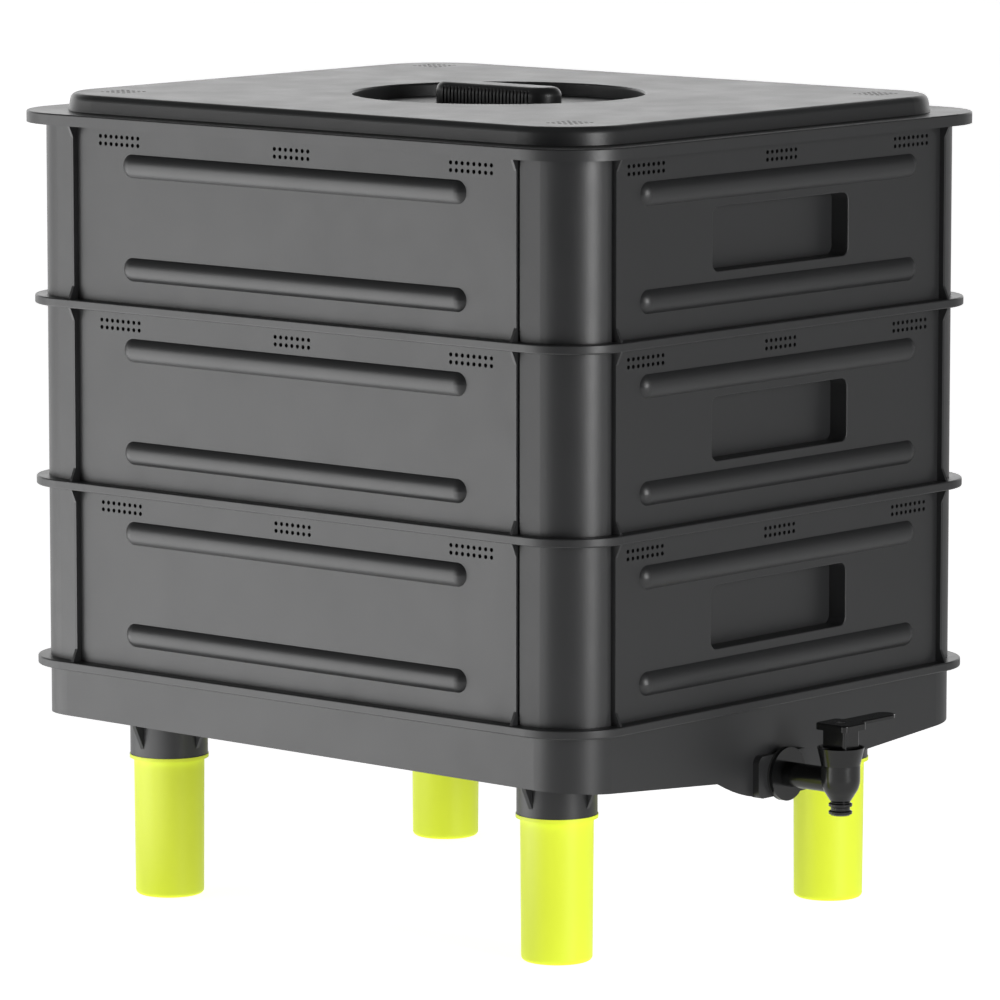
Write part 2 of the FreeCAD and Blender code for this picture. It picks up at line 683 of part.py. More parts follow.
# Drain and worm holes in a regular grid over the tray floor
def add_floor_holes(body):
    pitch = "dims.floor_hole_pitch"
    sketch = new_sketch(body, "FloorHole", "XY_Plane")
    counts = {}
    for axis, span in (("X_Axis", "dims.body_width"), ("Y_Axis", "dims.body_length")):
        counts[axis] = "floor((%s - 2 * dims.floor_hole_margin) / %s)" % (span, pitch)
    starts = ["-(%s * %s / 2)" % (counts[axis], pitch) for axis in ("X_Axis", "Y_Axis")]
    circle(sketch, "dims.floor_hole_diameter / 2", *starts)
    hole = pocket_through(body, "FloorHoleCut", sketch)
    repeat(body, "FloorHoles", hole, [
        (axis, "%s * %s" % (counts[axis], pitch), "%s + 1" % counts[axis])
        for axis in ("X_Axis", "Y_Axis")])


# Tray: straight walls that stand on the flange below, with a nesting skirt and perforated floor
def make_tray_model():
    body = doc.addObject("PartDesign::Body", "tray_model")
    rim = "dims.tray_pitch"
    skirt_inset = "(dims.wall + dims.nest_clearance)"
    outline = new_sketch(body, "WallOutline", "XY_Plane")
    rounded_rectangle(outline, HALF_WIDTH, HALF_LENGTH, "dims.corner_radius")
    pad(body, "Wall", outline, rim)
    add_corner_columns(body, rim)
    add_fins(body, rim)
    add_bars(body, "(%s - dims.bar_drop - dims.bar_spacing)" % rim)
    add_flange(body, rim)
    skirt = new_sketch(body, "SkirtOutline", "XY_Plane", "-dims.nest_depth")
    rounded_rectangle(skirt, "(%s - %s)" % (HALF_WIDTH, skirt_inset),
                      "(%s - %s)" % (HALF_LENGTH, skirt_inset),
                      "(dims.corner_radius - %s)" % skirt_inset)
    pad(body, "Skirt", skirt, "dims.nest_depth")
    cavity = new_sketch(body, "CavityOutline", "XY_Plane", rim)
    rounded_rectangle(cavity, INNER_HALF_WIDTH, INNER_HALF_LENGTH, INNER_RADIUS)
    pocket(body, "Cavity", cavity, "%s - dims.floor_thickness" % rim)
    well = new_sketch(body, "WellOutline", "XY_Plane", "dims.floor_thickness")
    inset = "(%s + dims.wall)" % skirt_inset
    rounded_rectangle(well, "(%s - %s)" % (HALF_WIDTH, inset), "(%s - %s)" % (HALF_LENGTH, inset),
                      "(dims.corner_radius - %s)" % inset)
    pocket(body, "Well", well, "dims.nest_depth")
    add_handle_pockets(body, rim)
    add_vents(body, rim)
    add_floor_holes(body)
    return body


# One of the three identical trays at its own height
def place_tray(label, level, model):
    tray = doc.addObject("Part::Compound", label)
    tray.Label = label
    tray.Links = [model]
    tray.setExpression("Placement.Base.y", BOX_Y)
    tray.setExpression("Placement.Base.z", "dims.rim_z + %d * dims.tray_pitch" % level)
    pieces.append(tray)


# Sump block: straight sides over a floor that falls to a keel and forward, with round corners
def add_sump_block(body, name, half_x, half_y, radius, floor_lift, top):
    lowest = "(dims.rim_z - dims.base_wall_height - dims.keel_drop - dims.front_fall)"
    outline = new_sketch(body, name + "Outline", "XY_Plane", lowest)
    rounded_rectangle(outline, half_x, half_y, radius)
    pad(body, name, outline, "%s - %s" % (top, lowest))
    keel = "(dims.rim_z - dims.base_wall_height - dims.keel_drop + dims.front_fall / 2 + %s)" % floor_lift
    edge = "(%s + dims.keel_drop * %g)" % (keel, VALLEY_MARGIN)
    wide = "(%s * %g)" % (HALF_WIDTH, VALLEY_MARGIN)
    valley = new_sketch(body, name + "Valley", "XZ_Plane")
    valley.AttachmentOffset = FreeCAD.Placement(
        FreeCAD.Vector(0, 0, 0), FreeCAD.Rotation(FreeCAD.Vector(1, 0, 0), 1))
    valley.setExpression("AttachmentOffset.Rotation.Angle", "atan(dims.front_fall / dims.body_length)")
    polygon(valley, [("-%s" % wide, "0"), (wide, "0"), (wide, edge), ("0", keel), ("-%s" % wide, edge)])
    before = body.Shape.Volume
    pocket_through(body, name + "Underside", valley)
    if body.Shape.Volume >= before:
        raise RuntimeError("the valley cut nothing from " + body.Label)


# Drain well: an oval chute that runs back from the front wall and narrows into the floor
def add_drain_well(body, skin, front):
    mouth = new_sketch(body, "WellMouth", "XZ_Plane", front)
    oval(mouth, "(dims.bulge_half_width - %s)" % skin, "(dims.bulge_half_height - %s)" % skin,
         "(dims.bulge_end_radius - %s)" % skin, BULGE_Z)
    tail = new_sketch(body, "WellTail", "XZ_Plane", "%s - dims.well_length" % HALF_LENGTH)
    oval(tail, "(dims.well_end_half_width - %s)" % skin, "(dims.well_end_half_height - %s)" % skin,
         "(dims.well_end_radius - %s)" % skin, "(dims.tap_z + dims.well_end_rise)")
    ruled_loft(body, "DrainWell", mouth, tail)


# Space inside the base: the sump above its floor, and the drain well behind the tap
def make_base_cavity():
    body = doc.addObject("PartDesign::Body", "base_cavity")
    add_sump_block(body, "Sump", INNER_HALF_WIDTH, INNER_HALF_LENGTH, INNER_RADIUS,
                   "dims.floor_thickness", "(dims.rim_z + dims.floor_thickness)")
    add_drain_well(body, "dims.bulge_skin", INNER_HALF_LENGTH)
    return body


# Collecting base: a shallow sump with four leg collars and a bulge that carries the tap
def make_base():
    cavity = make_base_cavity()
    body = new_body("base")
    add_sump_block(body, "Outside", HALF_WIDTH, HALF_LENGTH, "dims.corner_radius", "0", "dims.rim_z")
    add_flange(body, "dims.rim_z")
    add_drain_well(body, "0", HALF_LENGTH)
    tap_pad = new_sketch(body, "TapPadOutline", "XZ_Plane", INNER_HALF_LENGTH)
    rounded_rectangle(tap_pad, "dims.tap_pad_half_width", "dims.tap_pad_half_height",
                      "dims.tap_pad_radius", "dims.tap_z")
    pad(body, "TapPad", tap_pad, "dims.tap_pad_proud + dims.wall")
    collars = new_sketch(body, "CollarOutline", "XY_Plane", "dims.leg_length")
    for side, end in LEG_NAMES.values():
        circle(collars, "dims.collar_diameter / 2", "%d * %s" % (side, LEG_X), "%d * %s" % (end, LEG_Y))
    collar_top = "(dims.rim_z - dims.base_wall_height + dims.floor_thickness)"
    pad(body, "Collars", collars, "%s - dims.leg_length" % collar_top)
    add_collar_webs(body, collar_top)
    hollow = body.newObject("PartDesign::Boolean", "Hollow")
    hollow.Type = "Cut"
    hollow.setObjects([cavity])
    settle(body, hollow)
    sockets = new_sketch(body, "SocketOutline", "XY_Plane", "dims.leg_length")
    for side, end in LEG_NAMES.values():
        circle(sockets, "(dims.spigot_diameter / 2 + dims.running_clearance)",
               "%d * %s" % (side, LEG_X), "%d * %s" % (end, LEG_Y))
    pocket(body, "LegSockets", sockets, "dims.socket_depth", reverse=True)
    cylinder(body, "TapHole", "XZ_Plane", "(dims.thread_diameter / 2 + dims.running_clearance)",
             "dims.tap_pad_proud + 3 * dims.wall", y="dims.tap_z", z="%s - dims.wall" % INNER_HALF_LENGTH,
             cut=True)


# Four small webs round each leg collar, along X and Y
def add_collar_webs(body, top):
    radius = "(dims.collar_diameter / 2)"
    for name, role, place, across in (
            ("FrontWeb", "XZ_Plane", LEG_Y, LEG_X), ("SideWeb", "YZ_Plane", LEG_X, LEG_Y)):
        for end, sign in (("Near", -1), ("Far", 1)):
            sketch = new_sketch(body, name + end, role, "%d * %s" % (sign, place))
            for side in (-1, 1):
                middle = "%d * %s" % (side, across)
                low = "(%s - dims.collar_web_height - dims.floor_thickness)" % top
                polygon(sketch, [
                    ("%s - %s - dims.collar_web_reach" % (middle, radius), top),
                    ("%s - %s + dims.wall" % (middle, radius), low),
                    ("%s + %s - dims.wall" % (middle, radius), low),
                    ("%s + %s + dims.collar_web_reach" % (middle, radius), top)])
            pad(body, name + end + "Web", sketch, "dims.collar_web_thickness", centred=True)


# Leg: a hollow moulded tube with a lip under the collar and a spigot in the socket
def make_leg(label, side, end):
    body = new_body(label, "%d * %s" % (side, LEG_X), "%d * %s" % (end, LEG_Y))
    lip_z = "(dims.leg_length - dims.leg_lip_thickness)"
    top_z = "(dims.leg_length + dims.spigot_length)"
    outline = new_sketch(body, "LegOutline", "XZ_Plane")
    polygon(outline, [
        ("0", "0"), ("dims.leg_foot_diameter / 2", "0"), ("dims.leg_top_diameter / 2", lip_z),
        ("dims.leg_lip_diameter / 2", lip_z), ("dims.leg_lip_diameter / 2", "dims.leg_length"),
        ("dims.spigot_diameter / 2", "dims.leg_length"), ("dims.spigot_diameter / 2", top_z), ("0", top_z)])
    revolve(body, "LegSolid", outline)
    round_edges(body, "FootRound", lambda edge: flat_at(edge, 0) and edge.BoundBox.XLength > 1,
                "dims.leg_foot_round")
    cylinder(body, "LegBore", "XY_Plane", "(dims.leg_foot_diameter / 2 - dims.leg_wall)",
             "%s - dims.leg_wall" % top_z, z="dims.leg_wall", cut=True)


# Lid: brim over the top flange, raised plateau with a round dish, moulded as one thin shell
def make_lid():
    body = new_body("lid", z=LID_SEAT_Z)
    gap = "dims.lid_gap"
    brim = new_sketch(body, "BrimOutline", "XY_Plane", "-dims.brim_drop")
    rounded_rectangle(brim, "(%s + %s)" % (HALF_WIDTH, LID_REACH), "(%s + %s)" % (HALF_LENGTH, LID_REACH),
                      "(dims.corner_radius + %s)" % LID_REACH)
    pad(body, "Brim", brim, "dims.brim_drop + dims.brim_web")
    edge_z = size_of("dims.brim_web")
    round_edges(body, "BrimRound", lambda edge: flat_at(edge, edge_z), "dims.brim_round")
    half_x = "(%s - dims.plateau_setback)" % HALF_WIDTH
    half_y = "(%s - dims.plateau_setback)" % HALF_LENGTH
    plateau = new_sketch(body, "PlateauOutline", "XY_Plane", "dims.brim_web")
    rounded_rectangle(plateau, half_x, half_y, "dims.plateau_corner_radius")
    pad(body, "Plateau", plateau, "dims.plateau_height", taper="-dims.plateau_draft")
    top_z = "(dims.brim_web + dims.plateau_height)"
    top_level = size_of(top_z)
    round_edges(body, "PlateauRound", lambda edge: flat_at(edge, top_level), "dims.plateau_round")
    recess = new_sketch(body, "RimRecessOutline", "XY_Plane", "-dims.brim_drop")
    rounded_rectangle(recess, "(%s + %s)" % (FLANGE_HALF_WIDTH, gap),
                      "(%s + %s)" % (FLANGE_HALF_LENGTH, gap), "(%s + %s)" % (FLANGE_RADIUS, gap))
    pocket(body, "RimRecess", recess, "dims.brim_drop", reverse=True)
    inset = "(dims.wall + dims.plateau_height * tan(dims.plateau_draft * 1deg))"
    hollow = new_sketch(body, "HollowOutline", "XY_Plane")
    rounded_rectangle(hollow, "(%s - %s)" % (half_x, inset), "(%s - %s)" % (half_y, inset),
                      "(dims.plateau_corner_radius - %s)" % inset)
    circle(hollow, "dims.dish_radius + dims.wall")
    pocket(body, "Hollow", hollow, "%s - dims.wall" % top_z, reverse=True)
    cylinder(body, "DishUnderside", "XY_Plane", "dims.dish_radius",
             "%s - dims.dish_depth - dims.wall" % top_z, cut=True)
    cylinder(body, "Dish", "XY_Plane", "dims.dish_radius", "dims.dish_depth",
             z="%s - dims.dish_depth" % top_z, cut=True)
    dish_radius = size_of("dims.dish_radius")
    round_edges(body, "DishRound",
                lambda edge: flat_at(edge, top_level) and same(edge.BoundBox.XLength, 2 * dish_radius),
                "dims.dish_round")
    for sign, name in ((-1, "Front"), (1, "Back")):
        cylinder(body, name + "ScrewHole", "XY_Plane",
                 "dims.grip_screw_diameter / 2 + dims.running_clearance", top_z,
                 y="%d * dims.grip_screw_spacing / 2" % sign, cut=True)
    span = "dims.vent_pitch * %d" % (LID_VENT_COUNT - 1)
    vent = new_sketch(body, "LidVentHole", "XY_Plane")
    circle(vent, "dims.vent_diameter / 2",
           "%s - dims.lid_vent_side_setback - %s / 2" % (HALF_WIDTH, span),
           "%s - dims.lid_vent_front_setback - %s / 2" % (HALF_LENGTH, span))
    hole = pocket_through(body, "LidVent", vent)
    repeat(body, "LidVents", hole, [("X_Axis", span, LID_VENT_COUNT), ("Y_Axis", span, LID_VENT_COUNT),
                                    ("YZ_Plane",), ("XZ_Plane",)])


# Grip: a stadium-shaped bar with finger ribs down both long sides
def make_grip():
    dish_floor = "(dims.brim_web + dims.plateau_height - dims.dish_depth)"
    body = new_body("lid_grip", z="%s + %s" % (LID_SEAT_Z, dish_floor))
    outline = new_sketch(body, "GripOutline", "XY_Plane")
    radius = "(dims.grip_width / 2)"
    half_run = "(dims.grip_length / 2 - dims.grip_width / 2)"
    run = size_of(half_run)
    size = size_of(radius)
    sides = []
    for sign in (1, -1):
        sides.append(outline.addGeometry(Part.LineSegment(
            FreeCAD.Vector(sign * size, -sign * run, 0), FreeCAD.Vector(sign * size, sign * run, 0)), False))
    ends = []
    for sign, start in ((1, 0), (-1, math.pi)):
        full = Part.Circle(FreeCAD.Vector(0, sign * run, 0), FreeCAD.Vector(0, 0, 1), size)
        ends.append(outline.addGeometry(Part.ArcOfCircle(full, start, start + math.pi), False))
    for first, second in ((sides[0], ends[0]), (ends[0], sides[1]), (sides[1], ends[1]), (ends[1], sides[0])):
        outline.addConstraint(Sketcher.Constraint("Tangent", first, 2, second, 1))
    outline.addConstraint(Sketcher.Constraint("Vertical", sides[0]))
    place_point(outline, ends[0], 3, "0", half_run)
    place_point(outline, ends[1], 3, "0", "-%s" % half_run)
    bind(outline, Sketcher.Constraint("Radius", ends[0], size), radius)
    pad(body, "GripSolid", outline, "dims.grip_height")
    top_z = size_of("dims.grip_height")
    round_edges(body, "GripRound", lambda edge: flat_at(edge, top_z), "dims.grip_round")
    count = "floor(2 * %s / dims.rib_pitch)" % half_run
    first_y = "-(%s * dims.rib_pitch / 2)" % count
    groove = new_sketch(body, "GrooveOutline", "XY_Plane")
    polygon(groove, [
        ("%s - dims.groove_depth" % radius, "%s - dims.groove_width / 2" % first_y),
        ("%s + dims.groove_depth" % radius, "%s - dims.groove_width / 2" % first_y),
        ("%s + dims.groove_depth" % radius, "%s + dims.groove_width / 2" % first_y),
        ("%s - dims.groove_depth" % radius, "%s + dims.groove_width / 2" % first_y)])
    cut = pocket_through(body, "Groove", groove)
    repeat(body, "Grooves", cut, [("Y_Axis", "%s * dims.rib_pitch" % count, "%s + 1" % count), ("YZ_Plane",)])
    for sign, name in ((-1, "Front"), (1, "Back")):
        cylinder(body, name + "ScrewBore", "XY_Plane",
                 "dims.grip_screw_diameter / 2 + dims.running_clearance",
                 "dims.grip_screw_length - dims.wall + dims.running_clearance",
                 y="%d * dims.grip_screw_spacing / 2" % sign, cut=True)


# The two pan-head screws that hold the grip from under the dish
def make_grip_screws():
    dish_floor = "(dims.brim_web + dims.plateau_height - dims.dish_depth)"
    head_z = "%s + %s - dims.wall - dims.grip_screw_head_height" % (LID_SEAT_Z, dish_floor)
    solids = []
    for sign, name in ((-1, "Front"), (1, "Back")):
        body = doc.addObject("PartDesign::Body", name + "GripScrew")
        body.setExpression("Placement.Base.y", "%s + %d * dims.grip_screw_spacing / 2" % (BOX_Y, sign))
        body.setExpression("Placement.Base.z", head_z)
        outline = new_sketch(body, name + "ScrewOutline", "XZ_Plane")
        shank = "dims.grip_screw_diameter / 2"
        head = "dims.grip_screw_head_diameter / 2"
        height = "dims.grip_screw_head_height"
        tip = "(%s + dims.grip_screw_length)" % height
        polygon(outline, [("0", "0"), (head, "0"), (head, height), (shank, height),
                          (shank, "%s - %s" % (tip, shank)), ("0", tip)])
        revolve(body, name + "Screw", outline)
        solids.append(body)
    group = doc.addObject("Part::Compound", "lid_grip_screws")
    group.Label = "lid_grip_screws"
    group.Links = solids
    pieces.append(group)
    doc.recompute()


# Tap body: inlet pipe, mounting flange, tapering chamber, neck and ridged nozzle in one moulding
def make_tap_body():
    body = new_body("tap_body", y=TAP_AXIS_Y, z="dims.tap_z")
    chamber_foot = "(-dims.chamber_foot_drop)"
    chamber_top = "(dims.bonnet_foot - dims.running_clearance)"
    root = "dims.nozzle_root_diameter / 2"
    chamber = new_sketch(body, "ChamberOutline", "XZ_Plane")
    polygon(chamber, [
        ("0", chamber_foot), (root, chamber_foot), ("dims.chamber_diameter / 2", "-dims.chamber_shoulder_drop"),
        ("dims.chamber_diameter / 2", chamber_top), ("0", chamber_top)])
    revolve(body, "Chamber", chamber)
    shoulder = size_of("-dims.chamber_shoulder_drop")
    round_edges(body, "ChamberRound", lambda edge: flat_at(edge, shoulder), "dims.chamber_round")
    cylinder(body, "Neck", "XY_Plane", "dims.neck_diameter / 2", "dims.neck_height")
    pipe_end = "(dims.tap_reach + dims.thread_tail)"
    cylinder(body, "InletPipe", "XZ_Plane", "dims.thread_diameter / 2", pipe_end, z="-%s" % pipe_end)
    flange_back = "(dims.tap_reach - dims.tap_pad_proud - dims.washer_thickness)"
    cylinder(body, "MountingFlange", "XZ_Plane", "dims.tap_flange_diameter / 2",
             "dims.tap_flange_thickness", z="-%s" % flange_back)
    foot = "(%s - dims.nozzle_length)" % chamber_foot
    crest = "dims.nozzle_diameter / 2"
    half_crest = "dims.nozzle_ridge_height / 2"
    half_ridge = "(%s + dims.nozzle_ridge_ramp)" % half_crest
    inside = "(%s + dims.nozzle_ridge_pitch)" % chamber_foot
    corners = [("0", inside), (root, inside)]
    for ridge in range(NOZZLE_RIDGES):
        middle = "(%s - dims.nozzle_first_ridge - dims.nozzle_ridge_pitch * %d)" % (chamber_foot, ridge)
        corners += [(root, "%s + %s" % (middle, half_ridge)), (crest, "%s + %s" % (middle, half_crest)),
                    (crest, "%s - %s" % (middle, half_crest)), (root, "%s - %s" % (middle, half_ridge))]
    corners += [(root, foot), ("0", foot)]
    outline = new_sketch(body, "NozzleOutline", "XZ_Plane")
    polygon(outline, corners)
    revolve(body, "Nozzle", outline)
    bore = "(dims.plug_diameter / 2 + dims.running_clearance)"
    cylinder(body, "PlugBore", "XY_Plane", bore, "dims.plug_foot + dims.running_clearance + dims.neck_height",
             z="-dims.plug_foot - dims.running_clearance", cut=True)
    collar_depth = "(dims.plug_collar_thickness + 2 * dims.running_clearance)"
    cylinder(body, "CollarBore", "XY_Plane", "(dims.plug_collar_diameter / 2 + dims.running_clearance)",
             collar_depth, z="dims.neck_height - %s" % collar_depth, cut=True)
    cylinder(body, "OutletBore", "XY_Plane", "dims.outlet_bore_diameter / 2",
             "-%s" % foot, z=foot, cut=True)
    cylinder(body, "InletBore", "XZ_Plane", "dims.inlet_bore_diameter / 2", pipe_end,
             z="-%s" % pipe_end, cut=True)


# Plug: turns in the chamber, with a side port that meets the inlet when the tap is open
def make_tap_plug():
    body = new_body("tap_plug", y=TAP_AXIS_Y, z="dims.tap_z")
    barrel = "dims.plug_diameter / 2"
    collar = "dims.plug_collar_diameter / 2"
    stem = "dims.plug_stem_diameter / 2"
    collar_low = "(dims.neck_height - dims.running_clearance - dims.plug_collar_thickness)"
    collar_high = "(dims.neck_height - dims.running_clearance)"
    outline = new_sketch(body, "PlugOutline", "XZ_Plane")
    polygon(outline, [
        ("0", "-dims.plug_foot"), (barrel, "-dims.plug_foot"), (barrel, collar_low),
        (collar, collar_low), (collar, collar_high), (stem, collar_high),
        (stem, "dims.plug_stem_top"), ("0", "dims.plug_stem_top")])
    revolve(body, "PlugSolid", outline)
    spigot = new_sketch(body, "SpigotOutline", "XY_Plane", "dims.plug_stem_top")
    half = "(dims.spigot_square / 2)"
    polygon(spigot, [("-%s" % half, "-%s" % half), (half, "-%s" % half), (half, half), ("-%s" % half, half)])
    pad(body, "Spigot", spigot, "dims.spigot_height")
    port = "dims.plug_port_diameter / 2"
    cylinder(body, "OutletPort", "XY_Plane", port, "dims.plug_foot", z="-dims.plug_foot", cut=True)
    cylinder(body, "SidePort", "YZ_Plane", port, "dims.plug_diameter", z="-dims.plug_diameter", cut=True)
    cylinder(body, "ScrewBore", "XY_Plane", "dims.lever_screw_diameter / 2 + dims.running_clearance",
             "dims.lever_screw_length", z="%s - dims.lever_screw_slack" % SCREW_TIP_Z, cut=True)
    for name, place in SEAL_PLACES:
        groove = new_sketch(body, name + "GrooveOutline", "XZ_Plane")
        half_seal = "(dims.seal_section / 2 + dims.running_clearance)"
        root = "(%s - dims.seal_section - dims.running_clearance)" % barrel
        polygon(groove, [
            (root, "%s - %s" % (place, half_seal)), (collar, "%s - %s" % (place, half_seal)),
            (collar, "%s + %s" % (place, half_seal)), (root, "%s + %s" % (place, half_seal))])
        cut = body.newObject("PartDesign::Groove", name + "Groove")
        cut.Profile = groove
        cut.ReferenceAxis = (groove, ["V_Axis"])
        cut.Angle = 360
        settle(body, cut)


# Two O-rings on the plug, above and below its port
def make_tap_seals():
    solids = []
    for name, place in SEAL_PLACES:
        ring = doc.addObject("Part::Torus", name)
        middle = "(dims.plug_diameter / 2 - dims.seal_section / 2)"
        ring.setExpression("Radius1", middle)
        ring.setExpression("Radius2", "dims.seal_section / 2")
        ring.setExpression("Placement.Base.y", "%s + %s" % (BOX_Y, TAP_AXIS_Y))
        ring.setExpression("Placement.Base.z", "dims.tap_z + %s" % place)
        solids.append(ring)
    group = doc.addObject("Part::Compound", "tap_plug_seals")
    group.Label = "tap_plug_seals"
    group.Links = solids
    pieces.append(group)
    doc.recompute()


# Bonnet: a flared nut on the neck that holds the plug's collar down
def make_tap_bonnet():
    body = new_body("tap_bonnet", y=TAP_AXIS_Y, z="dims.tap_z")
    foot = "dims.bonnet_foot"
    top = "dims.bonnet_top"
    ledge_low = "(dims.neck_height + dims.running_clearance)"
    ledge_high = "(%s + dims.bonnet_ledge)" % ledge_low
    foot_radius = "(dims.bonnet_foot_diameter / 2)"
    top_radius = "(dims.bonnet_top_diameter / 2)"
    bore = "(dims.neck_diameter / 2 + dims.running_clearance)"
    throat = "(dims.plug_stem_diameter / 2 + 2 * dims.running_clearance)"
    ledge_radius = "(%s - dims.bonnet_lip + (%s - %s) * (%s - %s) / (%s - %s))" % (
        foot_radius, top_radius, foot_radius, ledge_high, foot, top, foot)
    outline = new_sketch(body, "BonnetOutline", "XZ_Plane")
    polygon(outline, [
        (bore, foot), (foot_radius, foot), (top_radius, top),
        ("%s - dims.bonnet_lip" % top_radius, top), (ledge_radius, ledge_high),
        (throat, ledge_high), (throat, ledge_low), (bore, ledge_low)])
    revolve(body, "Bonnet", outline)


# Lever: a block over the plug's square spigot and a flat paddle, shown closed along +X
def make_tap_lever():
    body = new_body("tap_lever", y=TAP_AXIS_Y, z="dims.tap_z")
    block_foot = "(dims.plug_stem_top + dims.running_clearance)"
    block = new_sketch(body, "BlockOutline", "XY_Plane", block_foot)
    rounded_rectangle(block, "(dims.lever_block_width / 2)", "(dims.lever_block_length / 2)",
                      "dims.lever_block_round")
    pad(body, "Block", block, "dims.lever_block_height")
    plate_foot = "(%s + dims.lever_block_height)" % block_foot
    plate_top = "(%s + dims.lever_plate_thickness)" % plate_foot
    hub = new_sketch(body, "HubOutline", "XY_Plane", plate_foot)
    rounded_rectangle(hub, "(dims.lever_hub_width / 2)", "(dims.lever_hub_length / 2)",
                      "dims.lever_hub_round")
    pad(body, "Hub", hub, "dims.lever_plate_thickness")
    half_arm = "(dims.lever_arm_width / 2)"
    arm = new_sketch(body, "ArmOutline", "XY_Plane", "(%s - dims.lever_arm_thickness)" % plate_top)
    polygon(arm, [
        ("0", "-%s" % half_arm), ("dims.lever_reach", "-%s" % half_arm),
        ("dims.lever_reach", half_arm), ("0", half_arm)])
    pad(body, "Arm", arm, "dims.lever_arm_thickness")
    reach = size_of("dims.lever_reach")
    round_edges(body, "ArmTip",
                lambda edge: same(edge.BoundBox.XMin, reach) and edge.BoundBox.YLength < 0.01,
                "dims.lever_arm_width / 2 - dims.lever_round / 2")
    top_level = size_of(plate_top)
    round_edges(body, "TopRound", lambda edge: flat_at(edge, top_level), "dims.lever_round")
    socket = new_sketch(body, "SocketOutline", "XY_Plane", block_foot)
    half = "(dims.spigot_square / 2 + dims.running_clearance)"
    polygon(socket, [("-%s" % half, "-%s" % half), (half, "-%s" % half), (half, half), ("-%s" % half, half)])
    pocket(body, "Socket", socket, "dims.spigot_height", reverse=True)
    cylinder(body, "ScrewHole", "XY_Plane", "dims.lever_screw_diameter / 2 + dims.running_clearance",
             "dims.lever_block_height + dims.lever_plate_thickness", z=block_foot, cut=True)
    head_depth = "(dims.lever_screw_head_height + dims.lever_screw_slack)"
    cylinder(body, "HeadRecess", "XY_Plane",
             "dims.lever_screw_head_diameter / 2 + 2 * dims.running_clearance", head_depth,
             z="%s - %s" % (plate_top, head_depth), cut=True)


# Screw down through the lever into the plug
def make_lever_screw():
    body = new_body("tap_lever_screw", y=TAP_AXIS_Y, z="dims.tap_z + %s" % SCREW_SEAT_Z)
    shank = "dims.lever_screw_diameter / 2"
    head = "dims.lever_screw_head_diameter / 2"
    outline = new_sketch(body, "ScrewOutline", "XZ_Plane")
    polygon(outline, [
        ("0", "-dims.lever_screw_length"), (shank, "-dims.lever_screw_length + %s" % shank), (shank, "0"),
        (head, "0"), (head, "dims.lever_screw_head_height"), ("0", "dims.lever_screw_head_height")])
    revolve(body, "Screw", outline)


# Flat ring round the inlet pipe, centred on the tap's inlet axis
def make_washer(label, outer_radius, back_y):
    body = new_body(label, y=back_y, z="dims.tap_z")
    outline = new_sketch(body, "WasherOutline", "XZ_Plane")
    circle(outline, outer_radius)
    circle(outline, "(dims.thread_diameter / 2 + dims.running_clearance)")
    pad(body, "Washer", outline, "dims.washer_thickness")


# Hexagonal back nut inside the bulge, its lower flat level with the floor
def make_back_nut():
    place = "(-%s + dims.washer_thickness + dims.nut_thickness)" % INNER_HALF_LENGTH
    body = new_body("tap_back_nut", y=place, z="dims.tap_z")
    outline = new_sketch(body, "NutOutline", "XZ_Plane")
    flat = "(dims.nut_across_flats / 2)"
    corner = "(dims.nut_across_flats / sqrt(3))"
    polygon(outline, [
        (corner, "0"), ("%s / 2" % corner, flat), ("-%s / 2" % corner, flat),
        ("-%s" % corner, "0"), ("-%s / 2" % corner, "-%s" % flat), ("%s / 2" % corner, "-%s" % flat)])
    circle(outline, "(dims.thread_diameter / 2 + dims.running_clearance)")
    pad(body, "Nut", outline, "dims.nut_thickness")


make_base()
for name, (side, end) in LEG_NAMES.items():
    make_leg(name, side, end)
tray_model = make_tray_model()
for level, name in enumerate(TRAY_NAMES):
    place_tray(name, level, tray_model)
make_lid()
make_grip()
make_grip_screws()
make_tap_body()
make_tap_plug()
make_tap_seals()
make_tap_bonnet()
make_tap_lever()
make_lever_screw()
make_washer("tap_outer_washer", "dims.tap_flange_diameter / 2",
            "(-%s - dims.tap_pad_proud)" % HALF_LENGTH)
make_washer("tap_inner_washer", "dims.inner_washer_diameter / 2",
            "(-%s + dims.washer_thickness)" % INNER_HALF_LENGTH)
make_back_nut()
doc.recompute()

# Every object must have recomputed cleanly, and every piece must be a valid solid
for item in doc.Objects:
    if "Invalid" in item.State or "Error" in item.State:
        raise RuntimeError("%s is in state %s" % (item.Label, item.State))
for piece in pieces:
    if piece.Shape.isNull() or not piece.Shape.isValid() or not piece.Shape.Solids:
        raise RuntimeError("%s has no valid solid" % piece.Label)

os.makedirs("parts", exist_ok=True)
for piece in pieces:
    piece.Shape.exportStep("parts/%s.step" % piece.Label)
    print(piece.Label, len(piece.Shape.Solids), round(piece.Shape.Volume), piece.Shape.BoundBox)
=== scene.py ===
import bpy
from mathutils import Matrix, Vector

bl_info = {
    "name": "Garden Wormery",
    "version": (1, 0, 0),
    "blender": (4, 5, 0),
    "location": "View3D > Sidebar > Wormery",
    "description": "Finishes a stacking wormery and sets up its studio",
    "category": "Object",
}

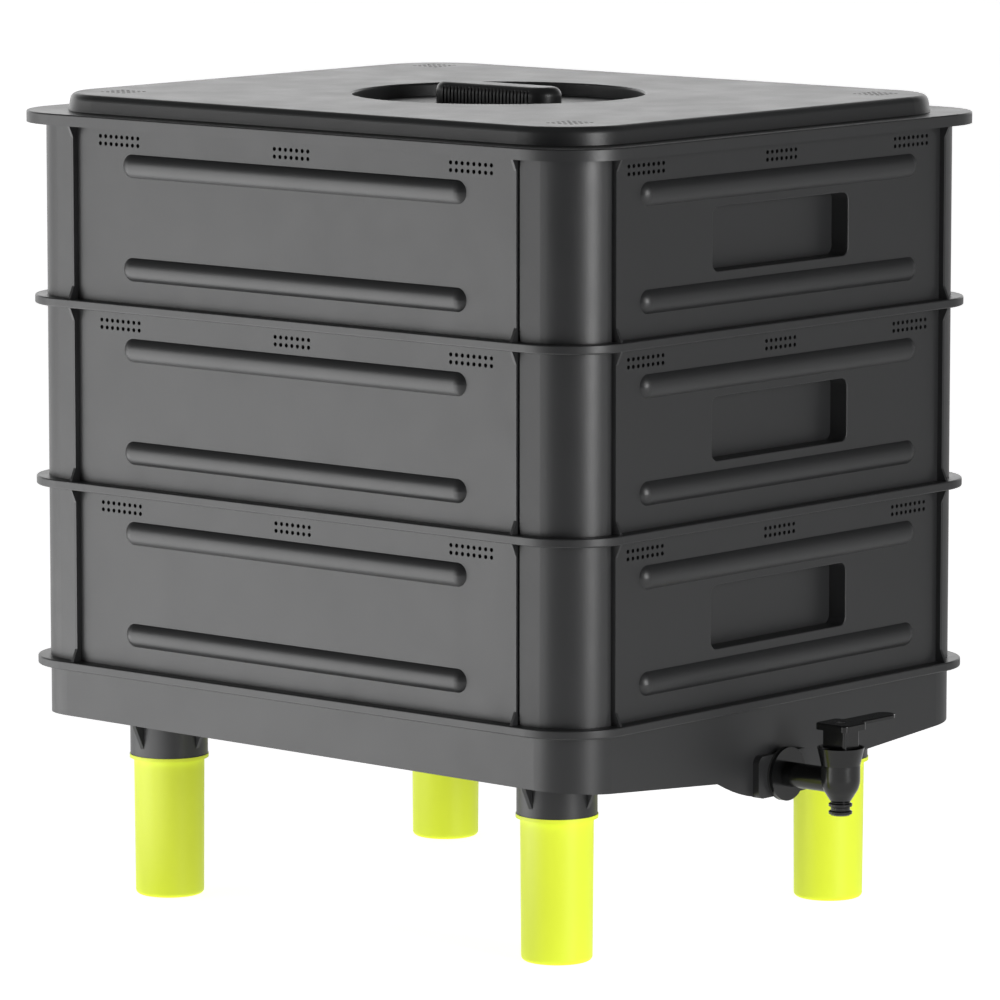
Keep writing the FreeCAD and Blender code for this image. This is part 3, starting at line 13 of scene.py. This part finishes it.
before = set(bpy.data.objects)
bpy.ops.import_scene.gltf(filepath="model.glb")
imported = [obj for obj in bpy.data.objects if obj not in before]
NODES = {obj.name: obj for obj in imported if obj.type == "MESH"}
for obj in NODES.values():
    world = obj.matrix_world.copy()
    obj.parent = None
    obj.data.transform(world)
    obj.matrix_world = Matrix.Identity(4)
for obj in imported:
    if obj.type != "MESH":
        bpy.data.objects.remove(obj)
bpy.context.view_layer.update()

TRAYS = ("tray_top", "tray_middle", "tray_bottom")
LEGS = ("leg_front_left", "leg_front_right", "leg_back_left", "leg_back_right")
TAP_MOULDINGS = ("tap_body", "tap_bonnet", "tap_plug", "tap_lever", "tap_back_nut")
SEALS = ("tap_plug_seals", "tap_outer_washer", "tap_inner_washer")
SCREWS = ("lid_grip_screws", "tap_lever_screw")

# Moulded plastic
PLASTIC_IOR = 1.5
PLASTIC_SPECULAR = 0.5
COARSE_SCALE = 0.31         # coarse bumps per fine bump of the grain
COARSE_SHARE = 0.6          # their height as a share of the fine bumps' height
WAVES_PER_METRE = 7.0       # slow changes of shade
STREAKS_PER_METRE = 31.0    # slow changes of gloss
FINE_NOISE = (2.0, 0.6)     # detail and roughness of each noise
COARSE_NOISE = (1.0, 0.5)
WAVE_NOISE = (3.0, 0.55)
STREAK_NOISE = (4.0, 0.6)
NOISE_MIDDLE = 0.5
FULL_SWING = 2.0            # widens the half swing round the middle to a whole one

# Finishes of the small pieces that no setting changes
RUBBER_COLOUR = (0.018, 0.018, 0.018)
RUBBER_ROUGHNESS = 0.7
STEEL_COLOUR = (0.55, 0.55, 0.56)
STEEL_ROUGHNESS = 0.35

# The backdrop. Each span holds the start and the end of a smooth change of its light.
HORIZON_SPAN = (0.03, 0.4)      # height of the direction: from horizon light to ceiling light
FRONT_SPAN = (0.3, 0.75)        # share of the direction towards the camera: down to FRONT_SHARE
FRONT_SHARE = 0.02
ACROSS_SPAN = (-0.9, 0.9)       # share of the direction to the left: right share to LEFT_SHARE
LEFT_SHARE = 1.2
BACK_HEIGHT_SPAN = (0.22, 0.6)  # height of the direction: back light fades out upwards
BACK_SPAN = (-0.95, -0.55)      # share towards the camera: back light fades out sideways

# The floor, in metres, with spans from its middle as above
FLOOR_RADIUS = 14.0
FLOOR_SIDES = 96
FLOOR_FRONT_SPAN = (0.5, 2.2)   # towards the camera: floor light down to FLOOR_FRONT_LIGHT
FLOOR_FRONT_LIGHT = 0.02
FLOOR_ACROSS_SPAN = (-1.4, 1.4)
FLOOR_LEFT_SHARE = 1.5
FLOOR_TO_CAMERA = 0.88          # its own glow as the camera sees it
FLOOR_COLOUR = (0.8, 0.8, 0.8, 1.0)

# Softboxes: name, setting of its power, place, point that it faces, width and height in metres
MIDDLE = Vector((0.0, 0.0, 0.3))
CARD_PLACE = (-1.15, 0.85, 0.004)
SOFTBOXES = (
    ("side_softbox", "side_power", MIDDLE + Vector((-2.0, 1.6, 0.05)), MIDDLE, (2.4, 0.9)),
    ("strip_softbox", "strip_power", MIDDLE + Vector((-0.33, -2.6, 0.2)), MIDDLE, (0.6, 1.6)),
    ("floor_card", "card_power", CARD_PLACE, (*CARD_PLACE[:2], 1.0), (1.7, 1.7)),
)
GLOSS_ONLY = ("floor_card",)    # shows in reflections but lights no matt surface

SENSOR_WIDTH = 36.0             # millimetres
CLIP_START = 0.1
CLIP_END = 100.0
WHITE = (1.0, 1.0, 1.0, 1.0)


# Small tools for node trees
class Tree:
    """A node tree under construction: it adds nodes and links their sockets."""

    def __init__(self, tree):
        self.nodes = tree.nodes
        self.links = tree.links

    def add(self, kind, settings=None, **inputs):
        node = self.nodes.new(kind)
        for name, value in (settings or {}).items():
            setattr(node, name, value)
        for name, value in inputs.items():
            self.feed(node.inputs[name.replace("_", " ")], value)
        return node

    def feed(self, socket, value):
        if isinstance(value, bpy.types.NodeSocket):
            self.links.new(value, socket)
        else:
            socket.default_value = value

    def math(self, operation, first, second):
        node = self.nodes.new("ShaderNodeMath")
        node.operation = operation
        self.feed(node.inputs[0], first)
        self.feed(node.inputs[1], second)
        return node.outputs[0]

    def ramp(self, value, span, first, last):
        """Smooth change from first to last while value crosses span, and level outside it."""
        node = self.nodes.new("ShaderNodeMapRange")
        node.interpolation_type = "SMOOTHSTEP"
        node.clamp = True
        for socket, entry in zip(node.inputs, (value, *span, first, last)):
            self.feed(socket, entry)
        return node.outputs[0]

    def dot(self, first, second):
        """Dot product of two vectors."""
        node = self.add("ShaderNodeVectorMath", {"operation": "DOT_PRODUCT"})
        self.feed(node.inputs[0], first)
        self.feed(node.inputs[1], second)
        return node.outputs["Value"]

    def noise(self, vector, scale, detail, roughness):
        node = self.add("ShaderNodeTexNoise", None, Vector=vector, Scale=scale,
                        Detail=detail, Roughness=roughness)
        return node.outputs["Fac"]


def new_group(name, inputs, outputs):
    """Shader node group. An input is (name, socket type, default), an output (name, type)."""
    group = bpy.data.node_groups.new(name, "ShaderNodeTree")
    for label, kind, default in inputs:
        socket = group.interface.new_socket(label, in_out="INPUT", socket_type=kind)
        socket.default_value = default
    for label, kind in outputs:
        group.interface.new_socket(label, in_out="OUTPUT", socket_type=kind)
    tree = Tree(group)
    return group, tree, tree.nodes.new("NodeGroupInput"), tree.nodes.new("NodeGroupOutput")


def moulded_grain_group():
    """The fine eroded texture of the mould, with slow changes of shade and gloss."""
    name = "Moulded grain"
    if name in bpy.data.node_groups:
        return bpy.data.node_groups[name]
    group, tree, given, result = new_group(
        name,
        [("Colour", "NodeSocketColor", (0.03, 0.03, 0.03, 1.0)),
         ("Shade variation", "NodeSocketFloat", 0.1),
         ("Roughness", "NodeSocketFloat", 0.4),
         ("Roughness variation", "NodeSocketFloat", 0.05),
         ("Grain size", "NodeSocketFloat", 0.0009),
         ("Grain depth", "NodeSocketFloat", 0.00003)],
        [("Colour", "NodeSocketColor"),
         ("Roughness", "NodeSocketFloat"),
         ("Normal", "NodeSocketVector")])
    place = tree.add("ShaderNodeTexCoord").outputs["Object"]
    per_metre = tree.math("DIVIDE", 1.0, given.outputs["Grain size"])
    grain = tree.noise(place, per_metre, *FINE_NOISE)
    coarse = tree.noise(place, tree.math("MULTIPLY", per_metre, COARSE_SCALE), *COARSE_NOISE)
    waves = tree.noise(place, WAVES_PER_METRE, *WAVE_NOISE)
    streaks = tree.noise(place, STREAKS_PER_METRE, *STREAK_NOISE)
    height = tree.math("ADD", grain, tree.math("MULTIPLY", coarse, COARSE_SHARE))
    bump = tree.add("ShaderNodeBump", None, Strength=1.0, Height=height)
    tree.feed(bump.inputs["Distance"], given.outputs["Grain depth"])
    swing = tree.math("SUBTRACT", waves, NOISE_MIDDLE)
    swing = tree.math("MULTIPLY", swing, given.outputs["Shade variation"])
    shade = tree.math("ADD", 1.0, swing)
    tint = tree.add("ShaderNodeVectorMath", {"operation": "SCALE"})
    tree.feed(tint.inputs[0], given.outputs["Colour"])
    tree.feed(tint.inputs["Scale"], shade)
    gloss = tree.math("SUBTRACT", streaks, NOISE_MIDDLE)
    gloss = tree.math("MULTIPLY", gloss, given.outputs["Roughness variation"])
    gloss = tree.math("MULTIPLY", gloss, FULL_SWING)
    rough = tree.math("ADD", given.outputs["Roughness"], gloss)
    tree.feed(result.inputs["Colour"], tint.outputs[0])
    tree.feed(result.inputs["Roughness"], rough)
    tree.feed(result.inputs["Normal"], bump.outputs["Normal"])
    return group


def plastic(name, colour, roughness, settings):
    """Moulded plastic: one shader fed by the moulded grain group."""
    material = bpy.data.materials.new(name)
    material.use_nodes = True
    tree = Tree(material.node_tree)
    shader = tree.nodes["Principled BSDF"]
    shader.inputs["IOR"].default_value = PLASTIC_IOR
    shader.inputs["Specular IOR Level"].default_value = PLASTIC_SPECULAR
    grain = tree.nodes.new("ShaderNodeGroup")
    grain.node_tree = moulded_grain_group()
    for label, value in (("Colour", (*colour, 1.0)),
                         ("Shade variation", settings.shade_variation),
                         ("Roughness", roughness),
                         ("Roughness variation", settings.gloss_variation),
                         ("Grain size", settings.grain_size),
                         ("Grain depth", settings.grain_depth)):
        grain.inputs[label].default_value = value
    for label, output in (("Base Color", "Colour"),
                          ("Roughness", "Roughness"),
                          ("Normal", "Normal")):
        tree.feed(shader.inputs[label], grain.outputs[output])
    return material


def dress(names, material):
    """Put the material into every slot of the named pieces."""
    for name in names:
        slots = NODES[name].material_slots
        if not slots:
            raise RuntimeError("%s has no material slot" % name)
        for slot in slots:
            slot.material = material


# Settings
class WormeryFinishSettings(bpy.types.PropertyGroup):
    box_colour: bpy.props.FloatVectorProperty(
        name="Box colour", description="Charcoal plastic of the lid, trays and base",
        subtype="COLOR", size=3, min=0.0, max=1.0, default=(0.019, 0.0194, 0.0202))
    box_roughness: bpy.props.FloatProperty(
        name="Box roughness", description="How matt the charcoal plastic is", subtype="FACTOR",
        min=0.0, max=1.0, default=0.4)
    leg_colour: bpy.props.FloatVectorProperty(
        name="Leg colour", description="Lime plastic of the legs", subtype="COLOR",
        size=3, min=0.0, max=1.0, default=(0.86, 0.99, 0.035))
    leg_roughness: bpy.props.FloatProperty(
        name="Leg roughness", description="How matt the lime plastic is", subtype="FACTOR",
        min=0.0, max=1.0, default=0.45)
    tap_colour: bpy.props.FloatVectorProperty(
        name="Tap colour", description="Black plastic of the tap", subtype="COLOR",
        size=3, min=0.0, max=1.0, default=(0.005, 0.0051, 0.0053))
    tap_roughness: bpy.props.FloatProperty(
        name="Tap roughness", description="How matt the tap's plastic is", subtype="FACTOR",
        min=0.0, max=1.0, default=0.2)
    shade_variation: bpy.props.FloatProperty(
        name="Shade variation", description="Slow change of shade over a moulding",
        subtype="FACTOR", min=0.0, max=1.0, default=0.16)
    gloss_variation: bpy.props.FloatProperty(
        name="Gloss variation", description="Change of roughness over a moulding", subtype="FACTOR",
        min=0.0, max=1.0, default=0.06)
    grain_size: bpy.props.FloatProperty(
        name="Grain size", description="Width of one bump of the moulded texture",
        subtype="DISTANCE", unit="LENGTH", min=0.0001, max=0.01, precision=5, default=0.0009)
    grain_depth: bpy.props.FloatProperty(
        name="Grain depth", description="Depth of the moulded texture", subtype="DISTANCE",
        unit="LENGTH", min=0.0, max=0.001, precision=6, default=0.00004)


class WormeryStageSettings(bpy.types.PropertyGroup):
    camera_place: bpy.props.FloatVectorProperty(
        name="Camera place", description="Where the camera stands", subtype="TRANSLATION",
        unit="LENGTH", size=3, default=(-3.53004, -3.025, 0.91524))
    camera_aim: bpy.props.FloatVectorProperty(
        name="Camera aim", description="The point that the camera looks at",
        subtype="TRANSLATION", unit="LENGTH", size=3, default=(-0.02522, 0.00426, 0.28011))
    camera_lens: bpy.props.FloatProperty(
        name="Lens", description="Focal length on a 36 mm wide sensor", subtype="DISTANCE_CAMERA",
        min=10.0, max=500.0, default=246.53)
    horizon_light: bpy.props.FloatProperty(
        name="Horizon light", description="Radiance of the backdrop round the horizon",
        min=0.0, max=5.0, default=1.0)
    ceiling_light: bpy.props.FloatProperty(
        name="Ceiling light", description="Radiance from straight above",
        min=0.0, max=5.0, default=0.12)
    back_light: bpy.props.FloatProperty(
        name="Back light", description="Radiance that the backdrop adds behind the object",
        min=0.0, max=5.0, default=1.6)
    right_share: bpy.props.FloatProperty(
        name="Right share", description="Share of the light on the picture's right",
        subtype="FACTOR", min=0.0, max=1.0, default=0.4)
    floor_light: bpy.props.FloatProperty(
        name="Floor light", description="Radiance that the pale floor gives back of itself",
        min=0.0, max=5.0, default=0.7)
    side_power: bpy.props.FloatProperty(
        name="Side light", description="Power of the large softbox on the left", subtype="POWER",
        min=0.0, max=2000.0, default=19.0)
    card_power: bpy.props.FloatProperty(
        name="Floor card", description="Power of the glowing card on the floor at the left",
        subtype="POWER", min=0.0, max=2000.0, default=25.0)
    strip_power: bpy.props.FloatProperty(
        name="Strip light", description="Power of the narrow softbox at the front", subtype="POWER",
        min=0.0, max=2000.0, default=48.0)


# Pieces of the wormery
class WORMERY_OT_finish_box(bpy.types.Operator):
    """Give the lid, its grip, the trays and the base their charcoal plastic"""
    bl_idname = "wormery.finish_box"
    bl_label = "Finish Box"

    def execute(self, context):
        settings = context.scene.wormery_finish
        material = plastic("Charcoal plastic", settings.box_colour, settings.box_roughness,
                           settings)
        dress(("lid", "lid_grip", "base") + TRAYS, material)
        return {"FINISHED"}


class WORMERY_OT_finish_legs(bpy.types.Operator):
    """Give the four legs their lime plastic"""
    bl_idname = "wormery.finish_legs"
    bl_label = "Finish Legs"

    def execute(self, context):
        settings = context.scene.wormery_finish
        material = plastic("Lime plastic", settings.leg_colour, settings.leg_roughness, settings)
        dress(LEGS, material)
        return {"FINISHED"}


class WORMERY_OT_finish_tap(bpy.types.Operator):
    """Give the tap its black plastic, and all seals and screws their finishes"""
    bl_idname = "wormery.finish_tap"
    bl_label = "Finish Tap"

    def execute(self, context):
        settings = context.scene.wormery_finish
        material = plastic("Black tap plastic", settings.tap_colour, settings.tap_roughness,
                           settings)
        dress(TAP_MOULDINGS, material)
        rubber = plastic("Seal rubber", RUBBER_COLOUR, RUBBER_ROUGHNESS, settings)
        dress(SEALS, rubber)
        steel = plastic("Screw steel", STEEL_COLOUR, STEEL_ROUGHNESS, settings)
        steel.node_tree.nodes["Principled BSDF"].inputs["Metallic"].default_value = 1.0
        dress(SCREWS, steel)
        return {"FINISHED"}


# Studio
def ground_directions(settings):
    """Level directions from the object towards the camera and towards the left of the picture."""
    towards = Vector(settings.camera_place) - Vector(settings.camera_aim)
    towards.z = 0.0
    towards.normalize()
    return towards, Vector((towards.y, -towards.x, 0.0))


def studio_world(settings):
    """Pale horizon, brighter behind and on the left, dim overhead; plain white to the camera."""
    world = bpy.data.worlds.new("Studio")
    world.use_nodes = True
    tree = Tree(world.node_tree)
    background = tree.nodes["Background"]
    direction = tree.add("ShaderNodeTexCoord").outputs["Generated"]
    split = tree.add("ShaderNodeSeparateXYZ", None, Vector=direction)
    towards, left = ground_directions(settings)
    along = tree.dot(direction, towards)
    height = split.outputs["Z"]
    rise = tree.ramp(height, HORIZON_SPAN, settings.horizon_light, settings.ceiling_light)
    shade = tree.ramp(along, FRONT_SPAN, 1.0, FRONT_SHARE)
    side = tree.ramp(tree.dot(direction, left), ACROSS_SPAN, settings.right_share, LEFT_SHARE)
    round_about = tree.math("MULTIPLY", rise, tree.math("MULTIPLY", shade, side))
    high = tree.ramp(height, BACK_HEIGHT_SPAN, settings.back_light, 0.0)
    behind = tree.math("MULTIPLY", high, tree.ramp(along, BACK_SPAN, 1.0, 0.0))
    light = tree.math("ADD", round_about, behind)
    camera_ray = tree.add("ShaderNodeLightPath").outputs["Is Camera Ray"]
    strength = tree.math("MAXIMUM", light, camera_ray)
    tree.feed(background.inputs["Strength"], strength)
    background.inputs["Color"].default_value = WHITE
    return world


def studio_floor(settings):
    """Round pale floor that glows, more on the left and hardly on the camera's side."""
    bpy.ops.mesh.primitive_circle_add(vertices=FLOOR_SIDES, radius=FLOOR_RADIUS,
                                      fill_type="NGON", location=(0, 0, 0))
    floor = bpy.context.object
    floor.name = "studio_floor"
    material = bpy.data.materials.new("Pale floor")
    material.use_nodes = True
    tree = Tree(material.node_tree)
    tree.nodes.remove(tree.nodes["Principled BSDF"])
    output = tree.nodes["Material Output"]
    towards, left = ground_directions(settings)
    place = tree.add("ShaderNodeTexCoord").outputs["Object"]
    near = tree.ramp(tree.dot(place, towards), FLOOR_FRONT_SPAN, settings.floor_light,
                     FLOOR_FRONT_LIGHT)
    side = tree.ramp(tree.dot(place, left), FLOOR_ACROSS_SPAN, settings.right_share,
                     FLOOR_LEFT_SHARE)
    glow_here = tree.math("MULTIPLY", near, side)
    camera_ray = tree.add("ShaderNodeLightPath").outputs["Is Camera Ray"]
    to_camera = tree.math("MULTIPLY", camera_ray, FLOOR_TO_CAMERA)
    strength = tree.math("MAXIMUM", glow_here, to_camera)
    glow = tree.add("ShaderNodeEmission", None, Strength=strength)
    matt = tree.add("ShaderNodeBsdfDiffuse", None, Color=FLOOR_COLOUR)
    both = tree.nodes.new("ShaderNodeAddShader")
    tree.feed(both.inputs[0], glow.outputs[0])
    tree.feed(both.inputs[1], matt.outputs[0])
    tree.feed(output.inputs["Surface"], both.outputs[0])
    floor.data.materials.append(material)


def turn_to(item, place, aim):
    """Put a light or a camera at place, looking at aim."""
    item.location = place
    item.rotation_mode = "QUATERNION"
    item.rotation_quaternion = (Vector(aim) - Vector(place)).to_track_quat("-Z", "Y")


def softbox(name, place, aim, size, power):
    """Rectangular area light that the camera doesn't see."""
    data = bpy.data.lights.new(name, "AREA")
    data.shape = "RECTANGLE"
    data.size, data.size_y = size
    data.energy = power
    light = bpy.data.objects.new(name, data)
    bpy.context.scene.collection.objects.link(light)
    turn_to(light, place, aim)
    light.visible_camera = False
    light.visible_diffuse = name not in GLOSS_ONLY


def studio_camera(settings):
    data = bpy.data.cameras.new("camera")
    data.sensor_width = SENSOR_WIDTH
    data.lens = settings.camera_lens
    data.clip_start = CLIP_START
    data.clip_end = CLIP_END
    camera = bpy.data.objects.new("camera", data)
    bpy.context.scene.collection.objects.link(camera)
    turn_to(camera, settings.camera_place, settings.camera_aim)
    return camera


class WORMERY_OT_set_stage(bpy.types.Operator):
    """Build the pale floor, the backdrop, the softboxes, the glowing card and the camera"""
    bl_idname = "wormery.set_stage"
    bl_label = "Set Stage"

    def execute(self, context):
        settings = context.scene.wormery_stage
        scene = context.scene
        scene.world = studio_world(settings)
        studio_floor(settings)
        for name, power, place, aim, size in SOFTBOXES:
            softbox(name, place, aim, size, getattr(settings, power))
        scene.camera = studio_camera(settings)
        scene.view_settings.view_transform = "Standard"
        return {"FINISHED"}


class WORMERY_PT_panel(bpy.types.Panel):
    """Sizes, colours and steps of the wormery"""
    bl_idname = "WORMERY_PT_panel"
    bl_label = "Wormery"
    bl_space_type = "VIEW_3D"
    bl_region_type = "UI"
    bl_category = "Wormery"

    def draw(self, context):
        layout = self.layout
        for settings in (context.scene.wormery_finish, context.scene.wormery_stage):
            column = layout.column(align=True)
            for name in settings.__annotations__:
                column.prop(settings, name)
        for step in STEPS:
            layout.operator(step.bl_idname)


STEPS = (WORMERY_OT_finish_box, WORMERY_OT_finish_legs, WORMERY_OT_finish_tap,
         WORMERY_OT_set_stage)
CLASSES = (WormeryFinishSettings, WormeryStageSettings) + STEPS + (WORMERY_PT_panel,)


# Add-on
def register():
    for cls in CLASSES:
        bpy.utils.register_class(cls)
    bpy.types.Scene.wormery_finish = bpy.props.PointerProperty(type=WormeryFinishSettings)
    bpy.types.Scene.wormery_stage = bpy.props.PointerProperty(type=WormeryStageSettings)


def unregister():
    del bpy.types.Scene.wormery_stage
    del bpy.types.Scene.wormery_finish
    for cls in reversed(CLASSES):
        bpy.utils.unregister_class(cls)


def main():
    """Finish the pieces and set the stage."""
    register()
    bpy.ops.wormery.finish_box()
    bpy.ops.wormery.finish_legs()
    bpy.ops.wormery.finish_tap()
    bpy.ops.wormery.set_stage()


if __name__ == "__main__":
    main()
